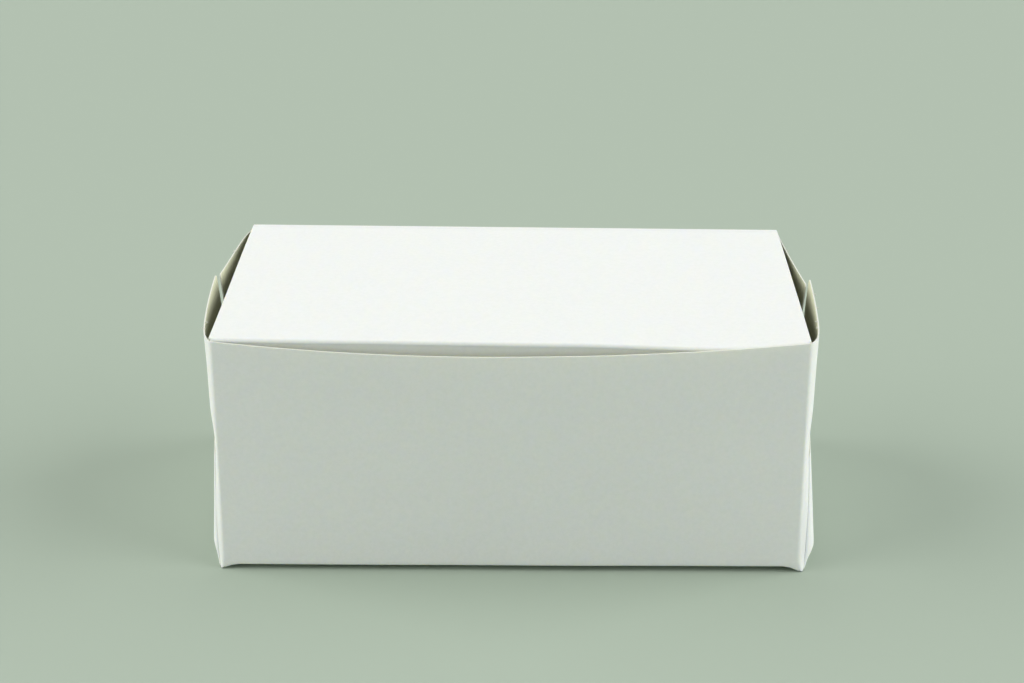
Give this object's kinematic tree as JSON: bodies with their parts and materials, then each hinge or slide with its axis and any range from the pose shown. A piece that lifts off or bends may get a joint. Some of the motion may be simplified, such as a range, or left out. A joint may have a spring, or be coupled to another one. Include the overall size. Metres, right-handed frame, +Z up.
{
  "type": "takeout food box",
  "caption": "White card takeout food box folded from one sheet, with a hinged lid whose tuck flap slides in behind the front wall.",
  "frame": {"origin": "middle of the base's underside, on the table", "axes": "+X along the box to its right end, +Y from the front wall to the back wall, +Z up"},
  "size_m": [0.213, 0.1257, 0.086],
  "materials": {
    "white_card": "matte"
  },
  "bodies": {
    "box": {"box_body": "white_card"},
    "lid": {"lid": "white_card"}
  },
  "joints": [
    {"name": "lid_crease", "type": "hinge", "parent": "box", "child": "lid", "pos_m": [0, 0.06078, 0.08478], "axis": [-1, 0, 0], "range_deg": [0, 220]}
  ]
}
